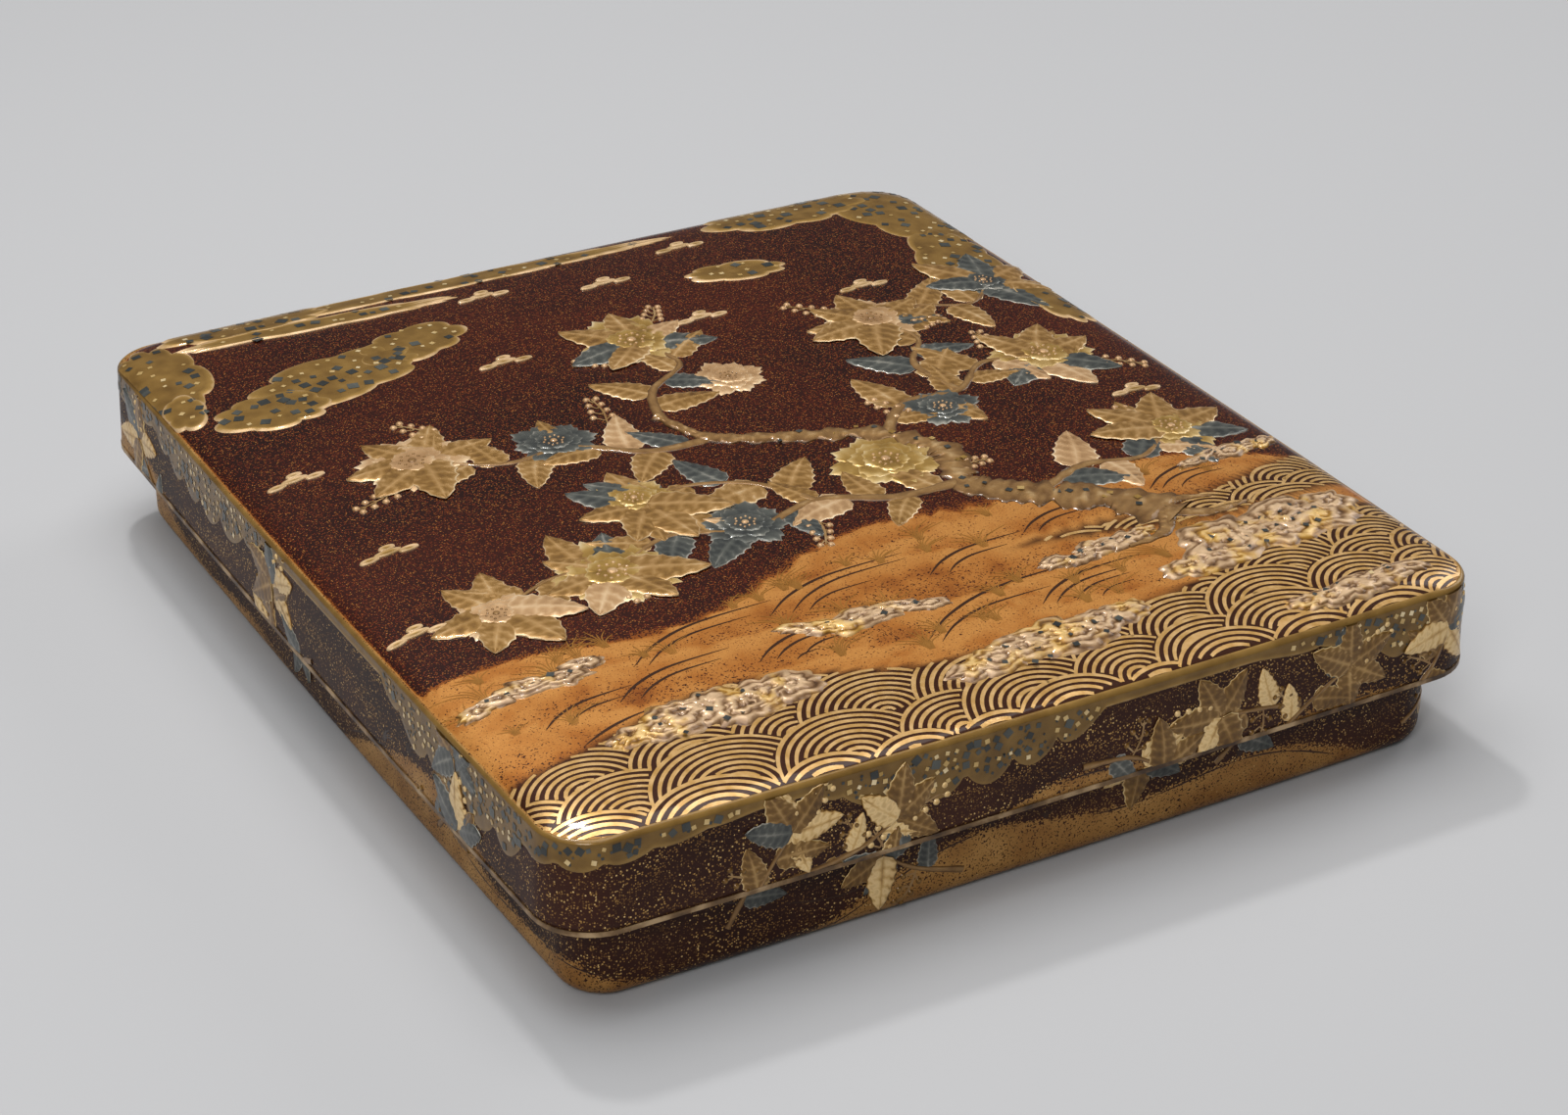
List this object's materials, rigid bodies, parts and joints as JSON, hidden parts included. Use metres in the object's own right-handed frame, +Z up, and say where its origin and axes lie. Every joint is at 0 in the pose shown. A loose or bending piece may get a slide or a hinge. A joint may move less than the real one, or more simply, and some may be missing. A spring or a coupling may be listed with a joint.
{
  "type": "writing box",
  "caption": "Lacquered writing box with an overlapping domed lid, two lift-out trays, and a board that seats an inkstone and a water dropper.",
  "frame": {"origin": "centre of the flat underside, on the surface that the box stands on", "axes": "+X along the lower edge of the lid's picture, +Y up the picture along the box's length, +Z up"},
  "size_m": [0.2126, 0.2426, 0.0442],
  "materials": {
    "lid_top_lacquer": "gloss red-brown lacquer with sprinkled gold",
    "lid_side_lacquer": "gloss dark brown lacquer with coarse gold sprinkles",
    "box_lacquer": "gloss dark brown lacquer with coarse gold sprinkles",
    "tray_lacquer": "gloss red-brown lacquer with sprinkled gold",
    "gilt_rim": "satin pale gold",
    "pewter_rim": "satin pewter",
    "gold_moulding": "satin gold lacquer",
    "slate": "honed dark slate",
    "silver": "satin silver",
    "bamboo": "polished bamboo",
    "hair": "soft pale hair",
    "ink": "pressed black ink, dull with a faint sheen",
    "dark_wood": "oiled dark wood",
    "steel": "ground steel"
  },
  "bodies": {
    "box": {"box_floor": "box_lacquer", "box_wall_front": "box_lacquer", "box_wall_back": "box_lacquer", "box_wall_left": "box_lacquer", "box_wall_right": "box_lacquer", "box_mouth_rim": "pewter_rim", "tray_ledge_front_left": "tray_lacquer", "tray_ledge_front_right": "tray_lacquer", "tray_ledge_back_left": "tray_lacquer", "tray_ledge_back_right": "tray_lacquer"},
    "lid": {"lid_top_board": "lid_top_lacquer", "lid_wall_front": "lid_side_lacquer", "lid_wall_back": "lid_side_lacquer", "lid_wall_left": "lid_side_lacquer", "lid_wall_right": "lid_side_lacquer", "lid_mouth_rim": "gilt_rim"},
    "stone_board": {"stone_board": "tray_lacquer", "stone_seat_moulding": "gold_moulding", "dropper_seat_moulding": "gold_moulding"},
    "inkstone": {"inkstone": "slate"},
    "water_dropper": {"dropper_body": "silver", "dropper_cover": "silver"},
    "left_tray": {"left_tray_floor": "tray_lacquer", "left_tray_outer_side": "tray_lacquer", "left_tray_inner_side": "tray_lacquer", "left_tray_front_end": "tray_lacquer", "left_tray_back_end": "tray_lacquer"},
    "right_tray": {"right_tray_floor": "tray_lacquer", "right_tray_outer_side": "tray_lacquer", "right_tray_inner_side": "tray_lacquer", "right_tray_front_end": "tray_lacquer", "right_tray_back_end": "tray_lacquer", "brush_rest_front": "tray_lacquer", "brush_rest_back": "tray_lacquer"},
    "brush_1": {"brush_1_handle": "bamboo", "brush_1_hair": "hair"},
    "brush_1_cap": {"brush_1_cap": "bamboo"},
    "brush_2": {"brush_2_handle": "bamboo", "brush_2_hair": "hair"},
    "brush_2_cap": {"brush_2_cap": "bamboo"},
    "ink_stick": {"ink_stick": "ink"},
    "ink_holder": {"holder_jaw_left": "dark_wood", "holder_jaw_right": "dark_wood", "holder_band": "silver"},
    "holder_ring": {"holder_ring": "silver"},
    "paper_knife": {"knife_grip": "dark_wood", "knife_blade": "steel"},
    "knife_sheath": {"knife_sheath": "dark_wood"},
    "awl": {"awl_grip": "dark_wood", "awl_point": "steel"}
  },
  "joints": [
    {"name": "lid_lift", "type": "slide", "parent": "box", "child": "lid", "axis": [0, 0, 1], "range_m": [0, 0.13]},
    {"name": "left_tray_lift", "type": "slide", "parent": "box", "child": "left_tray", "axis": [0, 0, 1], "range_m": [0, 0.065]},
    {"name": "right_tray_lift", "type": "slide", "parent": "box", "child": "right_tray", "axis": [0, 0, 1], "range_m": [0, 0.065]},
    {"name": "stone_board_lift", "type": "slide", "parent": "box", "child": "stone_board", "axis": [0, 0, 1], "range_m": [0, 0.0351]},
    {"name": "inkstone_lift", "type": "slide", "parent": "stone_board", "child": "inkstone", "axis": [0, 0, 1], "range_m": [0, 0.0156]},
    {"name": "water_dropper_lift", "type": "slide", "parent": "stone_board", "child": "water_dropper", "axis": [0, 0, 1], "range_m": [0, 0.0156]},
    {"name": "brush_1_lift", "type": "slide", "parent": "right_tray", "child": "brush_1", "axis": [0, 0, 1], "range_m": [0, 0.0195]},
    {"name": "brush_2_lift", "type": "slide", "parent": "right_tray", "child": "brush_2", "axis": [0, 0, 1], "range_m": [0, 0.0195]},
    {"name": "ink_stick_lift", "type": "slide", "parent": "left_tray", "child": "ink_stick", "axis": [0, 0, 1], "range_m": [0, 0.0195]},
    {"name": "ink_holder_lift", "type": "slide", "parent": "left_tray", "child": "ink_holder", "axis": [0, 0, 1], "range_m": [0, 0.0195]},
    {"name": "paper_knife_lift", "type": "slide", "parent": "left_tray", "child": "paper_knife", "axis": [0, 0, 1], "range_m": [0, 0.0195]},
    {"name": "awl_lift", "type": "slide", "parent": "left_tray", "child": "awl", "axis": [0, 0, 1], "range_m": [0, 0.0195]},
    {"name": "brush_1_cap_pull", "type": "slide", "parent": "brush_1", "child": "brush_1_cap", "axis": [0, 1, 0], "range_m": [0, 0.036]},
    {"name": "brush_2_cap_pull", "type": "slide", "parent": "brush_2", "child": "brush_2_cap", "axis": [0, 1, 0], "range_m": [0, 0.036]},
    {"name": "knife_sheath_pull", "type": "slide", "parent": "paper_knife", "child": "knife_sheath", "axis": [0, 1, 0], "range_m": [0, 0.058]},
    {"name": "holder_ring_slide", "type": "slide", "parent": "ink_holder", "child": "holder_ring", "axis": [0, 1, 0], "range_m": [0, 0.04]}
  ],
  "couplings": [
    {"joint": "left_tray_lift", "follows": "lid_lift", "ratio": 0.5},
    {"joint": "right_tray_lift", "follows": "lid_lift", "ratio": 0.5},
    {"joint": "stone_board_lift", "follows": "lid_lift", "ratio": 0.27},
    {"joint": "inkstone_lift", "follows": "lid_lift", "ratio": 0.12},
    {"joint": "water_dropper_lift", "follows": "lid_lift", "ratio": 0.12},
    {"joint": "brush_1_lift", "follows": "lid_lift", "ratio": 0.15},
    {"joint": "brush_2_lift", "follows": "lid_lift", "ratio": 0.15},
    {"joint": "ink_stick_lift", "follows": "lid_lift", "ratio": 0.15},
    {"joint": "ink_holder_lift", "follows": "lid_lift", "ratio": 0.15},
    {"joint": "paper_knife_lift", "follows": "lid_lift", "ratio": 0.15},
    {"joint": "awl_lift", "follows": "lid_lift", "ratio": 0.15}
  ]
}
